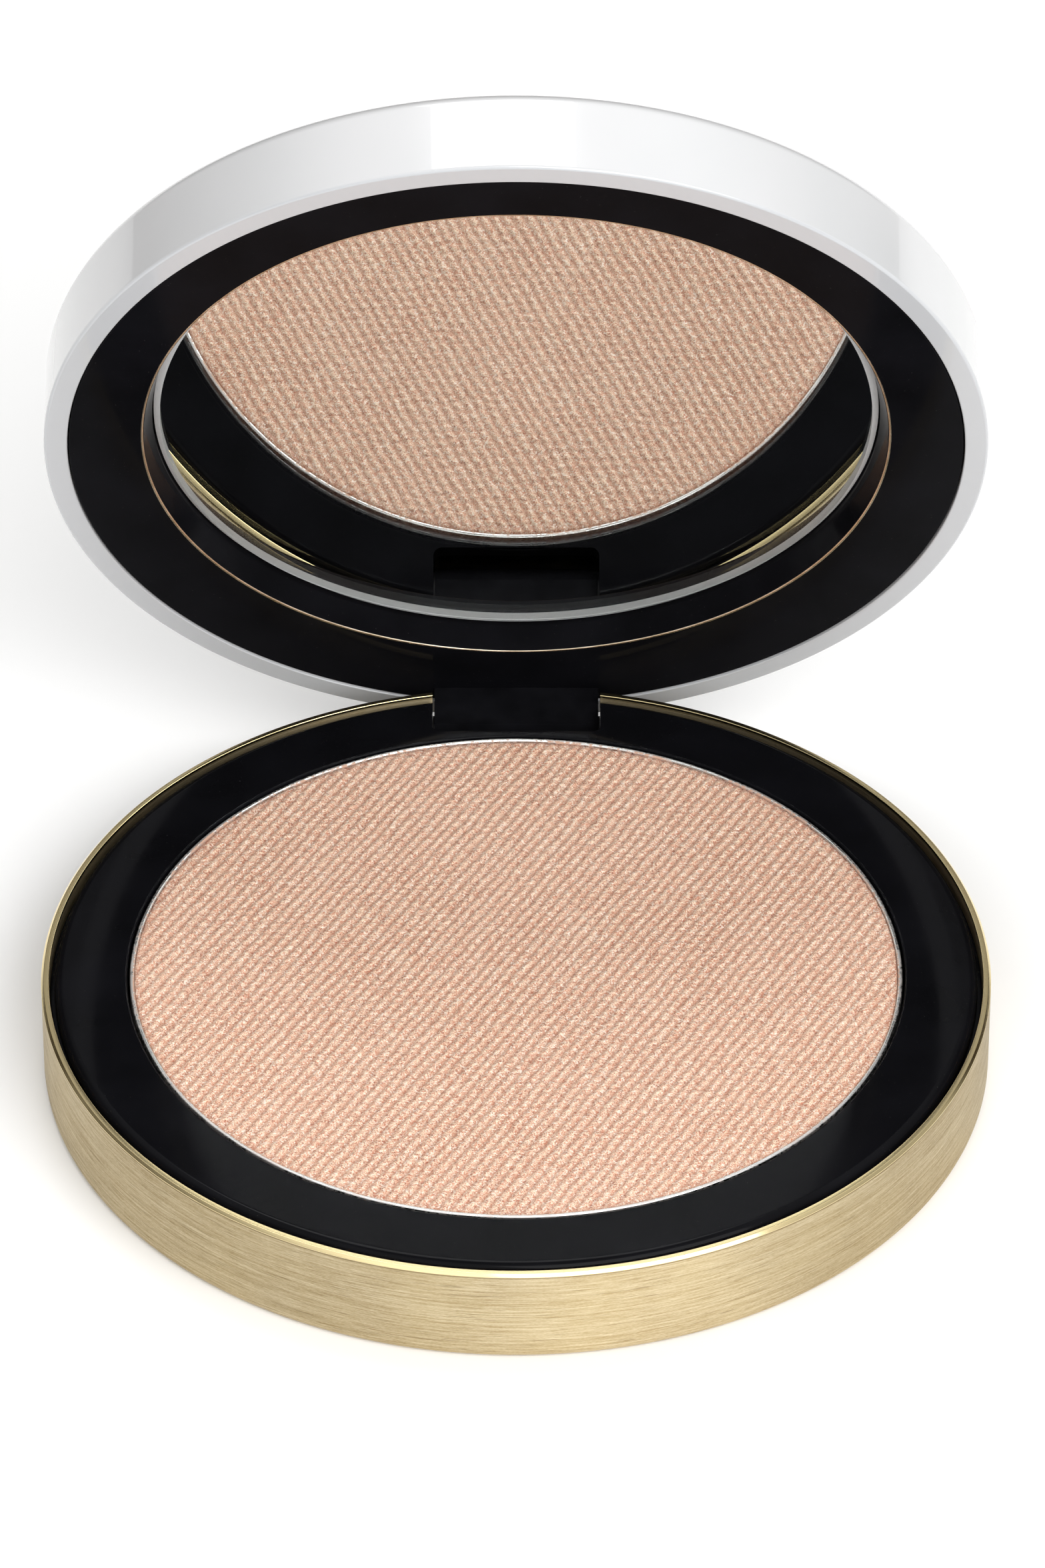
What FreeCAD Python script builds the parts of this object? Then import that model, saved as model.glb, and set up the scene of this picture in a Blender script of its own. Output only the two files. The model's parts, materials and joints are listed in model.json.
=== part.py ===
import FreeCAD, Part
import os
import re

import Sketcher
from FreeCAD import Placement, Rotation, Vector

# A round powder compact on its base, lid open.  Millimetres.  +Z is up, the hinge is at +Y and the
# front, where a thumb lifts the lid, is at -Y.  The origin is the centre of the base's underside.
# Lid pieces are drawn closed, above the base, and are then turned open about the hinge pin.

# --- driving dimensions ----------------------------------------------------------------------------

SIZES = {
    # the whole case
    "body_radius": 37.0,
    "base_height": 8.15,
    "lid_height": 7.5,
    "closing_gap": 0.4,
    "open_angle": 70.4,
    # base cup, drawn aluminium
    "cup_wall": 0.6,
    "cup_floor": 0.8,
    "cup_lip_chamfer": 0.2,
    "cup_foot_round": 0.7,
    "label_radius": 20.0,
    "label_thickness": 0.15,
    # bay for the hinge at the back of the base
    "hinge_setback": 34.4,
    "hinge_rise": 4.1,
    "bay_half_width": 6.8,
    "bay_front": 30.9,
    "bay_sill": 1.5,
    "bay_corner": 0.7,
    # moulded tray inside the cup
    "tray_radius": 35.95,
    "tray_shoulder": 0.75,
    "skirt_radius": 36.3,
    "skirt_wall": 1.2,
    "skirt_top": 6.9,
    "tray_plate": 1.4,
    "bond_thickness": 0.15,
    "well_radius": 30.3,
    "well_wall": 1.0,
    "well_floor_top": 4.05,
    "ear_half_width": 10.8,
    "ear_front": 30.8,
    # pan and powder
    "pan_radius": 30.1,
    "pan_wall": 0.35,
    "pan_drop": 0.08,
    "pan_foot_round": 0.4,
    "pan_tape": 0.2,
    "pan_tape_radius": 25.0,
    "powder_drop": 0.04,
    # ballast under the well
    "ballast_radius": 28.0,
    "ballast_thickness": 1.9,
    # hinge
    "pin_radius": 0.5,
    "pin_half_length": 8.4,
    "pin_fit": 0.01,
    "pin_clearance": 0.05,
    "bush_radius": 1.0,
    "lug_half_width": 6.66,
    "barrel_radius": 2.7,
    "lug_flat": 3.0,
    "lug_back_radius": 36.9,
    "washer_radius": 2.4,
    "washer_gap": 0.02,
    "flange_half_width": 9.6,
    "flange_front": 30.4,
    "flange_radius": 33.9,
    "flange_thickness": 1.0,
    "screw_spread": 8.0,
    "screw_setback": 31.9,
    "screw_radius": 0.5,
    "screw_head_radius": 1.0,
    "screw_head_height": 0.6,
    "screw_bite": 1.1,
    # lid
    "lid_roof": 1.0,
    "lid_crown_round": 1.3,
    "lid_lip_round": 0.25,
    "frame_radius": 35.05,
    "frame_fit": 0.1,
    "frame_recess": 0.15,
    "frame_plate": 1.5,
    "frame_wall": 1.0,
    "frame_floor": 0.9,
    "slot_overrun": 0.05,
    "mirror_mouth": 29.15,
    "mirror_radius": 28.4,
    "mirror_fit": 0.1,
    "mirror_forward": 1.6,
    "mirror_depth": 2.1,
    "mirror_thickness": 0.9,
    "mirror_bevel": 0.5,
    "silver_thickness": 0.06,
    "mirror_tape": 0.24,
    "mirror_tape_radius": 26.0,
    "edge_break": 0.18,
    "lid_weight_radius": 29.0,
    "lid_weight_thickness": 0.9,
    # magnetic catch at the front
    "magnet_radius": 1.1,
    "magnet_setback": 32.8,
    "magnet_angle": 7.0,
    "base_magnet_height": 2.0,
    "lid_magnet_height": 1.5,
    "magnet_skin": 0.6,
}

# Heights that several pieces share, written once in terms of the sizes above.
FRAME_FACE = "base_height + closing_gap + frame_recess"
LID_LIP = "base_height + closing_gap"
LID_TOP = LID_LIP + " + lid_height"
FRAME_BACK = FRAME_FACE + " + frame_plate"
GLASS_FACE = FRAME_FACE + " + mirror_depth"
GLASS_BACK = GLASS_FACE + " + mirror_thickness"
DISH_FLOOR = GLASS_BACK + " + silver_thickness + mirror_tape"
SKIRT_FOOT = "cup_floor + bond_thickness"
PLATE_UNDERSIDE = "base_height - tray_plate"
WELL_UNDERSIDE = "well_floor_top - well_wall"
PAN_FOOT = "well_floor_top + pan_tape"
PAN_RIM = "base_height - pan_drop"
LID_CEILING = LID_TOP + " - lid_roof"

doc = FreeCAD.newDocument("powder_compact")
sheet = doc.addObject("Spreadsheet::Sheet", "Dims")
for row, (word, number) in enumerate(SIZES.items(), start=1):
    sheet.set("A%d" % row, word)
    sheet.set("B%d" % row, str(number))
    sheet.setAlias("B%d" % row, word)
doc.recompute()


def bound(text):
    """The expression with each driving dimension's name pointed at the sheet."""
    return re.sub(r"[a-z_]+", lambda found: "Dims." * (found.group() in SIZES) + found.group(), text)


def value(text):
    return float(sheet.evalExpression(bound(text)))


# --- drawing tools ---------------------------------------------------------------------------------

parts = []          # every finished sub-part, in order


def new_body(label):
    body = doc.addObject("PartDesign::Body", label)
    body.Label = label
    parts.append(body)
    return body


def origin_plane(body, role):
    return next(item for item in body.Origin.OriginFeatures if item.Role == role)


def new_sketch(body, name, role, offset=None):
    """A sketch on one of the body's own origin planes, moved along that plane's normal by offset."""
    sketch = body.newObject("Sketcher::SketchObject", name)
    sketch.AttachmentSupport = (origin_plane(body, role), [""])
    sketch.MapMode = "FlatFace"
    if offset:
        sketch.setExpression("AttachmentOffset.Base.z", bound(offset))
    return sketch


def tie(sketch, kind, line, point, text):
    """Hold one coordinate of a sketch point at an expression, measured from the sketch's origin."""
    number = value(text)
    axis = {"DistanceX": -2, "DistanceY": -1}[kind]
    if abs(number) < 1e-9:
        sketch.addConstraint(Sketcher.Constraint("PointOnObject", line, point, axis))
    elif number > 0:
        index = sketch.addConstraint(Sketcher.Constraint(kind, -1, 1, line, point, number))
        sketch.setExpression("Constraints[%d]" % index, bound(text))
    else:
        index = sketch.addConstraint(Sketcher.Constraint(kind, line, point, -1, 1, -number))
        sketch.setExpression("Constraints[%d]" % index, "-(" + bound(text) + ")")


def draw_polygon(sketch, corners):
    """Closed polygon: each corner is a pair of expressions."""
    places = [Vector(value(across), value(up), 0) for across, up in corners]
    first = sketch.GeometryCount
    for here, after in zip(places, places[1:] + places[:1]):
        sketch.addGeometry(Part.LineSegment(here, after))
    for step in range(len(places)):
        before = first + (step - 1) % len(places)
        sketch.addConstraint(Sketcher.Constraint("Coincident", before, 2, first + step, 1))
    for step, (across, up) in enumerate(corners):
        tie(sketch, "DistanceX", first + step, 1, across)
        tie(sketch, "DistanceY", first + step, 1, up)


def draw_circle(sketch, across, up, radius):
    centre = Vector(value(across), value(up), 0)
    line = sketch.addGeometry(Part.Circle(centre, Vector(0, 0, 1), value(radius)))
    index = sketch.addConstraint(Sketcher.Constraint("Radius", line, value(radius)))
    sketch.setExpression("Constraints[%d]" % index, bound(radius))
    tie(sketch, "DistanceX", line, 3, across)
    tie(sketch, "DistanceY", line, 3, up)


def turn(body, name, corners, kind="PartDesign::Revolution", forward=None):
    """Turn an outline of (radius, height) corners: a Revolution adds, a Groove cuts.

    The axis is Z, or an upright line that far forward of it.
    """
    sketch = new_sketch(body, name + "_outline", "XZ_Plane", forward)
    draw_polygon(sketch, corners)
    feature = body.newObject(kind, name)
    feature.Profile = sketch
    feature.ReferenceAxis = (sketch, ["V_Axis"])
    feature.Angle = 360
    doc.recompute()
    return feature


def extrude(body, name, sketch, length, kind="PartDesign::Pad", both_ways=False, backwards=False):
    """Pad or Pocket of a sketch."""
    feature = body.newObject(kind, name)
    feature.Profile = sketch
    feature.setExpression("Length", bound(length))
    if both_ways:
        feature.SideType = "Symmetric"
    feature.Reversed = backwards
    doc.recompute()
    return feature


def rims(feature, places):
    """Names of a feature's full circles about Z that lie at the given (radius, height) pairs."""
    wanted = [(value(radius), value(height)) for radius, height in places]
    found = []
    for number, edge in enumerate(feature.Shape.Edges, start=1):
        if edge.Curve.TypeId != "Part::GeomCircle":
            continue
        here = (edge.Curve.Radius, edge.Curve.Center.z)
        if any(abs(here[0] - radius) + abs(here[1] - height) < 1e-3 for radius, height in wanted):
            found.append("Edge%d" % number)
    if len(found) != len(places):
        raise RuntimeError("%s: found %d of %d rims" % (feature.Name, len(found), len(places)))
    return found


def soften(body, feature, name, places, size, kind="PartDesign::Fillet"):
    """Fillet or Chamfer on round rims of a feature."""
    edging = body.newObject(kind, name)
    edging.Base = (feature, rims(feature, places))
    edging.setExpression({"PartDesign::Fillet": "Radius", "PartDesign::Chamfer": "Size"}[kind], bound(size))
    doc.recompute()
    return edging


def disc(label, radius, low, high, hole="0", forward=None):
    """Plain disc, or a ring where hole is given, between two heights."""
    body = new_body(label)
    turn(body, label + "_turned", [(hole, low), (radius, low), (radius, high), (hole, high)],
         forward=forward)
    return body


def box_outline(half_width, near, far):
    """Rectangle, symmetric about the middle, from near to far."""
    return [("-" + half_width, near), (half_width, near), (half_width, far), ("-" + half_width, far)]


def upright_edges(feature, places):
    """Names of a feature's straight vertical edges that stand at the given (x, y) pairs."""
    wanted = [(value(across), value(along)) for across, along in places]
    found = []
    for number, edge in enumerate(feature.Shape.Edges, start=1):
        start, end = (vertex.Point for vertex in (edge.Vertexes[0], edge.Vertexes[-1]))
        if edge.Curve.TypeId != "Part::GeomLine" or abs(start.x - end.x) + abs(start.y - end.y) > 1e-4:
            continue
        if any(abs(start.x - across) + abs(start.y - along) < 1e-3 for across, along in wanted):
            found.append("Edge%d" % number)
    return found


def group(label, pieces):
    """One sub-part made of separate identical solids."""
    joined = doc.addObject("Part::Compound", label)
    joined.Label = label
    joined.Links = pieces
    parts.append(joined)
    return joined


def rod(name, radius, height, base, direction=Vector(0, 0, 1)):
    """Cylinder bound to the sheet: base is three expressions."""
    solid = doc.addObject("Part::Cylinder", name)
    solid.setExpression("Radius", bound(radius))
    solid.setExpression("Height", bound(height))
    solid.Placement = Placement(Vector(0, 0, 0), Rotation(Vector(0, 0, 1), direction))
    for axis, text in zip("xyz", base):
        solid.setExpression("Placement.Base." + axis, bound(text))
    return solid


# --- base ------------------------------------------------------------------------------------------

def make_base_shell():
    """Drawn cup with a rounded foot, a burnished chamfer and a bay cut out of its back for the hinge."""
    body = new_body("base_shell")
    cup_inside = "body_radius - cup_wall"
    recess = "label_radius + 0.05"
    cup = turn(body, "cup", [
        ("0", "label_thickness"), (recess, "label_thickness"), (recess, "0"), ("body_radius", "0"),
        ("body_radius", "base_height"), (cup_inside, "base_height"), (cup_inside, "cup_floor"),
        ("0", "cup_floor"),
    ])
    foot = soften(body, cup, "foot_round", [("body_radius", "0")], "cup_foot_round")
    lip = soften(body, foot, "lip_chamfer", [("body_radius", "base_height")], "cup_lip_chamfer",
                 "PartDesign::Chamfer")
    soften(body, lip, "lip_break", [(cup_inside, "base_height")], "0.3 * edge_break")
    bay = new_sketch(body, "bay_outline", "XZ_Plane", "-bay_front")
    draw_polygon(bay, box_outline("bay_half_width", "bay_sill", "base_height + 1"))
    extrude(body, "bay", bay, "10", "PartDesign::Pocket")


def make_base_tray():
    """Moulded insert: top plate, skirt, pan well, and the two ears that hold the hinge pin."""
    body = new_body("base_tray")
    skirt_inside = "skirt_radius - skirt_wall"
    well_outside = "well_radius + well_wall"
    plate = turn(body, "tray", [
        ("0", WELL_UNDERSIDE), (well_outside, WELL_UNDERSIDE), (well_outside, PLATE_UNDERSIDE),
        (skirt_inside, PLATE_UNDERSIDE), (skirt_inside, SKIRT_FOOT), ("skirt_radius", SKIRT_FOOT),
        ("skirt_radius", "skirt_top"), ("tray_radius", "skirt_top"), ("tray_radius", "base_height"),
        ("well_radius", "base_height"), ("well_radius", "well_floor_top"), ("0", "well_floor_top"),
    ])
    shoulder = soften(body, plate, "shoulder", [("tray_radius", "base_height")], "tray_shoulder")
    soften(body, shoulder, "well_edge", [("well_radius", "base_height")], "edge_break")

    ears = new_sketch(body, "ears_outline", "XY_Plane", SKIRT_FOOT)
    draw_polygon(ears, box_outline("ear_half_width", "ear_front", "body_radius + 2"))
    extrude(body, "ears", ears, "skirt_top - (" + SKIRT_FOOT + ")")
    turn(body, "ears_trim", [
        ("skirt_radius", "0"), ("body_radius + 20", "0"), ("body_radius + 20", "base_height"),
        ("skirt_radius", "base_height"),
    ], "PartDesign::Groove")

    bay = new_sketch(body, "bay_outline", "XY_Plane", "base_height + 1")
    draw_polygon(bay, box_outline("bay_half_width", "bay_front", "body_radius + 2"))
    cut = extrude(body, "bay", bay, "base_height + 1", "PartDesign::Pocket")
    corners = body.newObject("PartDesign::Fillet", "bay_corners")
    inner = [(side + "bay_half_width", "bay_front") for side in ("-", "")]
    corners.Base = (cut, upright_edges(cut, inner))
    corners.setExpression("Radius", bound("bay_corner"))

    bore = new_sketch(body, "pin_bore_outline", "YZ_Plane")
    draw_circle(bore, "hinge_setback", "hinge_rise", "pin_radius + pin_fit")
    extrude(body, "pin_bore", bore, "2 * pin_half_length + 0.2", "PartDesign::Pocket", both_ways=True)

    seats = new_sketch(body, "magnet_seats_outline", "XY_Plane", PLATE_UNDERSIDE)
    for side in ("-", ""):
        draw_circle(seats, side + "magnet_setback * sin(magnet_angle)", "-magnet_setback * cos(magnet_angle)",
                    "magnet_radius + 0.03")
    extrude(body, "magnet_seats", seats, "tray_plate - magnet_skin", "PartDesign::Pocket", backwards=True)


def make_pan():
    """Pressed aluminium pan that holds the powder."""
    body = new_body("pan")
    inside = "pan_radius - pan_wall"
    dish = turn(body, "dish", [
        ("0", PAN_FOOT), ("pan_radius", PAN_FOOT), ("pan_radius", PAN_RIM), (inside, PAN_RIM),
        (inside, PAN_FOOT + " + pan_wall"), ("0", PAN_FOOT + " + pan_wall"),
    ])
    soften(body, dish, "pan_foot", [("pan_radius", PAN_FOOT)], "pan_foot_round")


def make_magnets(label, low, height):
    """Two small disc magnets, either side of the front."""
    pieces = [
        rod(label + name, "magnet_radius", height,
            (side + "magnet_setback * sin(magnet_angle)", "-magnet_setback * cos(magnet_angle)", low))
        for name, side in (("_left", "-"), ("_right", ""))
    ]
    return group(label, pieces)


def make_hinge_washers():
    """Thin friction washers between the lug and the ears."""
    pieces = []
    for name, side in (("_left", -1), ("_right", 1)):
        towards = Vector(side, 0, 0)
        at_lug = ("%d * (lug_half_width + washer_gap)" % side, "hinge_setback", "hinge_rise")
        thickness = "bay_half_width - lug_half_width - 2 * washer_gap"
        rim = rod("washer_rim" + name, "washer_radius", thickness, at_lug, towards)
        hole = rod("washer_hole" + name, "pin_radius + pin_clearance", thickness, at_lug, towards)
        ring = doc.addObject("Part::Cut", "washer" + name)
        ring.Base, ring.Tool = rim, hole
        pieces.append(ring)
    group("hinge_washers", pieces)


def make_hinge_pin():
    pin = rod("hinge_pin", "pin_radius", "2 * pin_half_length",
              ("-pin_half_length", "hinge_setback", "hinge_rise"), Vector(1, 0, 0))
    pin.Label = "hinge_pin"
    parts.append(pin)


# --- lid, drawn closed -----------------------------------------------------------------------------

def make_lid_shell():
    """Lacquered cap with a thick lip and a softly rounded crown."""
    body = new_body("lid_shell")
    inside = "frame_radius + frame_fit"
    cap = turn(body, "cap", [
        (inside, LID_LIP), ("body_radius", LID_LIP), ("body_radius", LID_TOP), ("0", LID_TOP),
        ("0", LID_CEILING), (inside, LID_CEILING),
    ])
    crown = soften(body, cap, "crown_round", [("body_radius", LID_TOP)], "lid_crown_round")
    lip = soften(body, crown, "lip_round", [("body_radius", LID_LIP)], "lid_lip_round")
    soften(body, lip, "lip_break", [(inside, LID_LIP)], "0.5 * edge_break")


def make_lid_frame():
    """Moulded inner lid: the face round the mirror, the mirror's dish and the skirt glued in the cap."""
    body = new_body("lid_frame")
    dish_outside = "mirror_mouth + 0.85"
    skirt_inside = "frame_radius - frame_wall"
    dish_back = DISH_FLOOR + " + frame_floor"
    skirt_end = LID_CEILING + " - bond_thickness"
    seat = "mirror_radius + mirror_fit"
    turn(body, "face", [
        ("0", FRAME_FACE), ("frame_radius", FRAME_FACE), ("frame_radius", skirt_end),
        (skirt_inside, skirt_end), (skirt_inside, FRAME_BACK), ("0", FRAME_BACK),
    ])
    turn(body, "dish", [
        ("0", FRAME_BACK), (dish_outside, FRAME_BACK), (dish_outside, dish_back), ("0", dish_back),
    ], forward="mirror_forward")
    mirror_seat = turn(body, "mirror_seat", [
        ("0", FRAME_FACE), ("mirror_mouth", FRAME_FACE), (seat, GLASS_FACE), (seat, DISH_FLOOR),
        ("0", DISH_FLOOR),
    ], "PartDesign::Groove", forward="mirror_forward")
    mouth = soften(body, mirror_seat, "mouth_round", [("mirror_mouth", FRAME_FACE)], "edge_break")
    soften(body, mouth, "rim_break", [("frame_radius", FRAME_FACE)], "0.5 * edge_break",
           "PartDesign::Chamfer")

    slot = new_sketch(body, "lug_slot_outline", "XY_Plane", LID_LIP)
    draw_polygon(slot, box_outline("(lug_half_width + 0.03)", LUG_NECK_FRONT + " - 0.03", "body_radius"))
    extrude(body, "lug_slot", slot, "frame_recess + frame_plate + slot_overrun", "PartDesign::Pocket",
            backwards=True)

    holes = new_sketch(body, "screw_holes_outline", "XY_Plane", FRAME_BACK)
    for side in ("-", ""):
        draw_circle(holes, side + "screw_spread", "screw_setback", "screw_radius + pin_fit")
    extrude(body, "screw_holes", holes, "screw_bite + 0.1", "PartDesign::Pocket")

    seats = new_sketch(body, "magnet_seats_outline", "XY_Plane", FRAME_BACK)
    for side in ("-", ""):
        draw_circle(seats, side + "magnet_setback * sin(magnet_angle)", "-magnet_setback * cos(magnet_angle)",
                    "magnet_radius + 0.03")
    extrude(body, "magnet_seats", seats, "frame_plate - magnet_skin", "PartDesign::Pocket")


# Front of the lug's neck where it enters the frame: the end of the flat that lies level when the lid
# stands at its usual angle.
LUG_NECK_FRONT = (
    "(hinge_setback + ((" + FRAME_FACE + " - hinge_rise) * cos(open_angle) - lug_flat) / sin(open_angle))"
)


def make_hinge_lug():
    """Lug on the lid: a barrel round the pin, a neck up into the frame and a flange for two screws."""
    body = new_body("hinge_lug")
    flange_top = FRAME_BACK + " + flange_thickness"
    neck = new_sketch(body, "neck_outline", "YZ_Plane")
    draw_polygon(neck, [
        ("hinge_setback - lug_flat / sin(open_angle)", "hinge_rise"),
        ("hinge_setback", "hinge_rise - 0.85 * barrel_radius"),
        ("lug_back_radius + 1", "hinge_rise"),
        ("lug_back_radius + 1", flange_top),
        (LUG_NECK_FRONT, flange_top),
        (LUG_NECK_FRONT, FRAME_FACE),
    ])
    extrude(body, "neck", neck, "2 * lug_half_width", both_ways=True)
    barrel = new_sketch(body, "barrel_outline", "YZ_Plane")
    draw_circle(barrel, "hinge_setback", "hinge_rise", "barrel_radius")
    extrude(body, "barrel", barrel, "2 * lug_half_width", both_ways=True)
    flange = new_sketch(body, "flange_outline", "XY_Plane", FRAME_BACK)
    draw_polygon(flange, box_outline("flange_half_width", "flange_front", "body_radius"))
    extrude(body, "flange", flange, "flange_thickness")

    under_lip = LID_LIP + " - 0.1"
    turn(body, "back_trim", [
        ("lug_back_radius", "0"), ("body_radius + 20", "0"), ("body_radius + 20", LID_TOP),
        ("flange_radius", LID_TOP), ("flange_radius", FRAME_BACK), ("frame_radius - 0.05", FRAME_BACK),
        ("frame_radius - 0.05", under_lip), ("lug_back_radius", under_lip),
    ], "PartDesign::Groove")

    bore = new_sketch(body, "bush_bore_outline", "YZ_Plane")
    draw_circle(bore, "hinge_setback", "hinge_rise", "bush_radius + pin_fit")
    extrude(body, "bush_bore", bore, "2 * lug_half_width + 2", "PartDesign::Pocket", both_ways=True)
    holes = new_sketch(body, "screw_holes_outline", "XY_Plane", flange_top)
    for side in ("-", ""):
        draw_circle(holes, side + "screw_spread", "screw_setback", "screw_radius + 0.1")
    extrude(body, "screw_holes", holes, "flange_thickness", "PartDesign::Pocket")


def make_hinge_bush():
    """Sleeve in the lug that turns on the pin and gives the hinge its drag."""
    body = new_body("hinge_bush")
    ring = new_sketch(body, "sleeve_outline", "YZ_Plane")
    draw_circle(ring, "hinge_setback", "hinge_rise", "bush_radius")
    draw_circle(ring, "hinge_setback", "hinge_rise", "pin_radius + pin_clearance")
    extrude(body, "sleeve", ring, "2 * lug_half_width", both_ways=True)


def make_lug_screws():
    """Two pan-head screws through the lug's flange into the frame."""
    flange_top = FRAME_BACK + " + flange_thickness"
    pieces = []
    for name, side in (("_left", "-"), ("_right", "")):
        shank = rod("screw_shank" + name, "screw_radius", "screw_bite + flange_thickness",
                    (side + "screw_spread", "screw_setback", FRAME_BACK + " - screw_bite"))
        head = rod("screw_head" + name, "screw_head_radius", "screw_head_height",
                   (side + "screw_spread", "screw_setback", flange_top))
        screw = doc.addObject("Part::Fuse", "screw" + name)
        screw.Base, screw.Tool = shank, head
        pieces.append(screw)
    return group("lug_screws", pieces)


def make_mirror_glass():
    """Round glass with a ground bevel on its front edge."""
    body = new_body("mirror_glass")
    glass = turn(body, "glass", [
        ("0", GLASS_FACE), ("mirror_radius", GLASS_FACE), ("mirror_radius", GLASS_BACK), ("0", GLASS_BACK),
    ], forward="mirror_forward")
    soften(body, glass, "bevel", [("mirror_radius", GLASS_FACE)], "mirror_bevel", "PartDesign::Chamfer")


# --- assembly --------------------------------------------------------------------------------------

def make_base():
    make_base_shell()
    disc("base_label", "label_radius", "0", "label_thickness")
    make_base_tray()
    disc("tray_bond", "skirt_radius", "cup_floor", SKIRT_FOOT, "skirt_radius - skirt_wall")
    disc("ballast_tape", "ballast_radius - 1", "cup_floor", SKIRT_FOOT)
    disc("ballast_plate", "ballast_radius", SKIRT_FOOT, SKIRT_FOOT + " + ballast_thickness")
    disc("pan_tape", "pan_tape_radius", "well_floor_top", PAN_FOOT)
    make_pan()
    disc("powder_cake", "pan_radius - pan_wall", PAN_FOOT + " + pan_wall", PAN_RIM + " - powder_drop")
    make_magnets("base_magnets", "base_height - magnet_skin - base_magnet_height", "base_magnet_height")
    make_hinge_pin()
    make_hinge_washers()


def make_lid():
    make_lid_shell()
    make_lid_frame()
    disc("lid_bond", "frame_radius", LID_CEILING + " - bond_thickness", LID_CEILING,
         "frame_radius - frame_wall")
    disc("lid_weight_tape", "lid_weight_radius - 1", LID_CEILING + " - bond_thickness", LID_CEILING)
    disc("lid_weight", "lid_weight_radius", LID_CEILING + " - bond_thickness - lid_weight_thickness",
         LID_CEILING + " - bond_thickness")
    make_hinge_lug()
    make_hinge_bush()
    make_lug_screws()
    make_mirror_glass()
    disc("mirror_silvering", "mirror_radius", GLASS_BACK, GLASS_BACK + " + silver_thickness",
         forward="mirror_forward")
    disc("mirror_tape", "mirror_tape_radius", GLASS_BACK + " + silver_thickness", DISH_FLOOR,
         forward="mirror_forward")
    make_magnets("lid_magnets", FRAME_FACE + " + magnet_skin", "lid_magnet_height")


def open_lid(lid_parts):
    """Turn the lid's pieces back about the hinge pin to the angle the compact stands at."""
    hinge = Vector(0, value("hinge_setback"), value("hinge_rise"))
    opened = Placement(Vector(0, 0, 0), Rotation(Vector(1, 0, 0), -value("open_angle")), hinge)
    for part in lid_parts:
        part.Placement = opened


make_base()
base_count = len(parts)
make_lid()
doc.recompute()
open_lid(parts[base_count:])
doc.recompute()

broken = [item.Label for item in doc.Objects if {"Invalid", "Error"} & set(item.State)]
broken += [part.Label for part in parts if part.Shape.isNull() or not part.Shape.isValid()]
if broken:
    raise RuntimeError("failed objects: " + ", ".join(broken))

os.makedirs("parts", exist_ok=True)
for part in parts:
    part.Shape.exportStep(os.path.join("parts", part.Label + ".step"))
    box = part.Shape.BoundBox
    print("%-18s %d solid(s) %9.2f mm3  x %6.2f %6.2f  y %6.2f %6.2f  z %6.2f %6.2f" % (
        part.Label, len(part.Shape.Solids), part.Shape.Volume,
        box.XMin, box.XMax, box.YMin, box.YMax, box.ZMin, box.ZMax))
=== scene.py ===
import json
import math

import bmesh
import bpy
import numpy as np
from mathutils import Matrix, Vector


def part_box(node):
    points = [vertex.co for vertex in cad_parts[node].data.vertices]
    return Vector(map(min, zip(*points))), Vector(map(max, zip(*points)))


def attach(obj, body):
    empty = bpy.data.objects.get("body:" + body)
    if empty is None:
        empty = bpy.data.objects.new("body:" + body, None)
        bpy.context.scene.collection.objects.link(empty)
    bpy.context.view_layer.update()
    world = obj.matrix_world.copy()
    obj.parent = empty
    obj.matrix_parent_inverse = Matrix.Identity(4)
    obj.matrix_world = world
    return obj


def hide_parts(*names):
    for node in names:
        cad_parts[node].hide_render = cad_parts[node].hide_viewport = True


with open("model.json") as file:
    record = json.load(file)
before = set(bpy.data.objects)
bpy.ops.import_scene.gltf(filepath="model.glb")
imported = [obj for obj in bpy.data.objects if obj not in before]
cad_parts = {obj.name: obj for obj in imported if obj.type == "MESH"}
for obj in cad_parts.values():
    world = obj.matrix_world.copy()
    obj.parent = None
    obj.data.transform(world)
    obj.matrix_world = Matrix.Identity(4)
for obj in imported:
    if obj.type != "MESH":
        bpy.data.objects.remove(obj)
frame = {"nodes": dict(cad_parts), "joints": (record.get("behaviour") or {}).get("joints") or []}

# A round powder compact, open.  Metres; +Z is up, the hinge is at +Y and the front is at -Y.

MM = 0.001

for name in ("Cube", "Light", "Camera"):        # what a new scene starts with
    if name in bpy.data.objects:
        bpy.data.objects.remove(bpy.data.objects[name])
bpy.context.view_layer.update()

HINGE = Vector(frame["joints"][0]["pos_m"])
OPENED = math.radians(-frame["joints"][0]["range_deg"][0])      # from shut to rest
SHUT = Matrix.Translation(HINGE) @ Matrix.Rotation(OPENED, 4, "X") @ Matrix.Translation(-HINGE)


def shut_box(node):
    """Lowest and highest corner of a lid node as it lies when the case is shut."""
    places = np.array([SHUT @ point.co for point in frame["nodes"][node].data.vertices])
    return Vector(places.min(0)), Vector(places.max(0))


SHELL_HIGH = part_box("base_shell")[1]
LABEL_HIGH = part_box("base_label")[1]
TRAY_LOW, TRAY_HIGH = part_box("base_tray")
PAN_LOW, PAN_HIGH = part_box("pan")
CAKE_LOW, CAKE_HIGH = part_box("powder_cake")
BALLAST_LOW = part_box("ballast_plate")[0]
LID_LOW, LID_HIGH = shut_box("lid_shell")
FRAME_LOW, FRAME_HIGH = shut_box("lid_frame")
GLASS_LOW, GLASS_HIGH = shut_box("mirror_glass")
TAPE_LOW, TAPE_HIGH = shut_box("mirror_tape")

BODY_RADIUS = SHELL_HIGH.x
MIRROR_ALONG = (GLASS_LOW.y + GLASS_HIGH.y) / 2.0       # the mirror sits a little forward in the lid
BASE_TOP = SHELL_HIGH.z
CAKE_RADIUS = CAKE_HIGH.x
CAKE_TOP = CAKE_HIGH.z

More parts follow.
